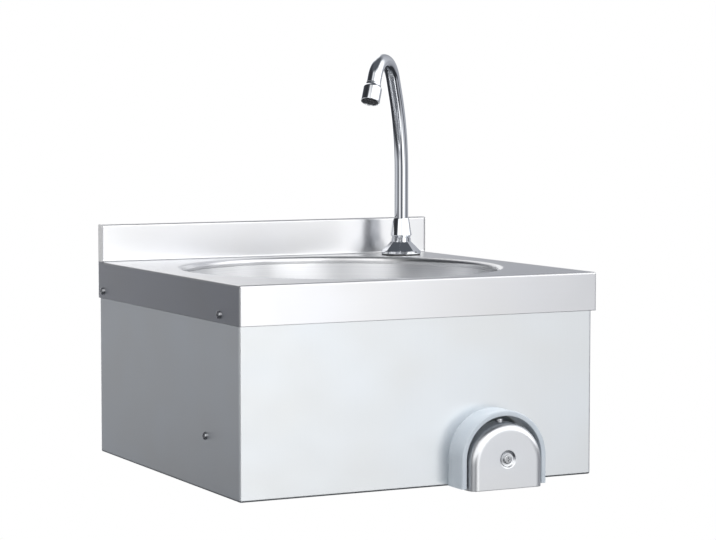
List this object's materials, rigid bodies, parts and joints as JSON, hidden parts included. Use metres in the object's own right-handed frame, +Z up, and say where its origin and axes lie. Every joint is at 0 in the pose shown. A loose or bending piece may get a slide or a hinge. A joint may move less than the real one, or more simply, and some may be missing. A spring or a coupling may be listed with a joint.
{
  "type": "hand wash sink",
  "caption": "Wall-hung stainless steel hand wash sink with a round bowl, low back splash, boxed apron, swan-neck spout and a knee-operated push valve.",
  "frame": {"origin": "middle of the two wall fixing slots, on the wall plane", "axes": "+X to the user's right, +Y into the wall, +Z up; the user stands on the -Y side"},
  "size_m": [0.4044, 0.409, 0.4383],
  "materials": {
    "brushed_sheet": "fine horizontal brushed stainless steel sheet",
    "bowl_steel": "spun and satin polished stainless steel",
    "pad_steel": "vertically brushed pressed stainless steel",
    "zinc_plate": "bright zinc plated folded steel",
    "screw_steel": "plain stainless steel fastener",
    "collar_plastic": "satin blue-grey moulded plastic",
    "carrier_plastic": "black glass filled nylon",
    "chrome": "polished chrome plate on brass",
    "brass": "machined brass",
    "nickel": "nickel plated brass",
    "spring_steel": "drawn stainless spring wire",
    "rubber_black": "moulded nitrile rubber",
    "white_plastic": "moulded white polypropylene",
    "acetal": "natural acetal",
    "mesh_insert": "dark moulded jet insert",
    "copper": "drawn and bent copper tube"
  },
  "bodies": {
    "sink": {"sink_top": "brushed_sheet", "bowl": "bowl_steel", "casing": "brushed_sheet", "wall_rail": "zinc_plate", "valve_bar": "zinc_plate", "valve_bracket": "zinc_plate", "bracket_bolts": "screw_steel", "bracket_nuts": "screw_steel", "front_apron_screws": "screw_steel", "front_apron_nuts": "screw_steel", "rear_apron_screws": "screw_steel", "bar_screws": "screw_steel", "bar_nuts": "screw_steel", "knee_collar": "collar_plastic", "collar_retainer": "zinc_plate", "collar_screws": "screw_steel", "valve_body": "brass", "valve_bonnet": "nickel", "bonnet_seal": "rubber_black", "valve_locknut": "brass", "return_spring": "spring_steel", "inlet_nipple_hot": "nickel", "inlet_nipple_cold": "nickel", "check_valves": "acetal", "inlet_filters": "acetal", "outlet_pipe": "copper", "pipe_nuts": "brass", "pipe_washers": "rubber_black", "pipe_tails": "brass", "tap_gasket": "rubber_black", "tap_base": "chrome", "tap_seal_washer": "rubber_black", "tap_clamp_washer": "zinc_plate", "tap_nut": "brass", "swivel_cap": "chrome", "glide_washer": "acetal", "drain_strainer": "bowl_steel", "drain_top_seal": "rubber_black", "drain_low_seal": "rubber_black", "drain_screw": "screw_steel", "waste_body": "white_plastic", "coupling_nut": "white_plastic", "cone_seal": "rubber_black", "tailpiece": "white_plastic"},
    "spout": {"spout_tube": "chrome", "spout_stub": "brass", "spout_o_rings": "rubber_black", "nozzle_housing": "chrome", "nozzle_insert": "mesh_insert", "nozzle_seal": "rubber_black"},
    "knee": {"knee_pad": "pad_steel", "pad_carrier": "carrier_plastic", "pad_screw": "screw_steel", "pad_top_screw": "screw_steel", "valve_rod": "nickel", "rod_o_ring": "rubber_black", "seat_washer": "rubber_black"}
  },
  "joints": [
    {"name": "spout_swivel", "type": "hinge", "parent": "sink", "child": "spout", "pos_m": [0.1481, -0.0492, 0.062], "axis": [0, 0, 1], "range_deg": [-60, 150]},
    {"name": "knee_push", "type": "slide", "parent": "sink", "child": "knee", "axis": [0, 1, 0], "range_m": [0, 0.01], "stiffness_N_per_m": 1500, "springref_m": -0.01, "deforming": ["return_spring"]}
  ]
}
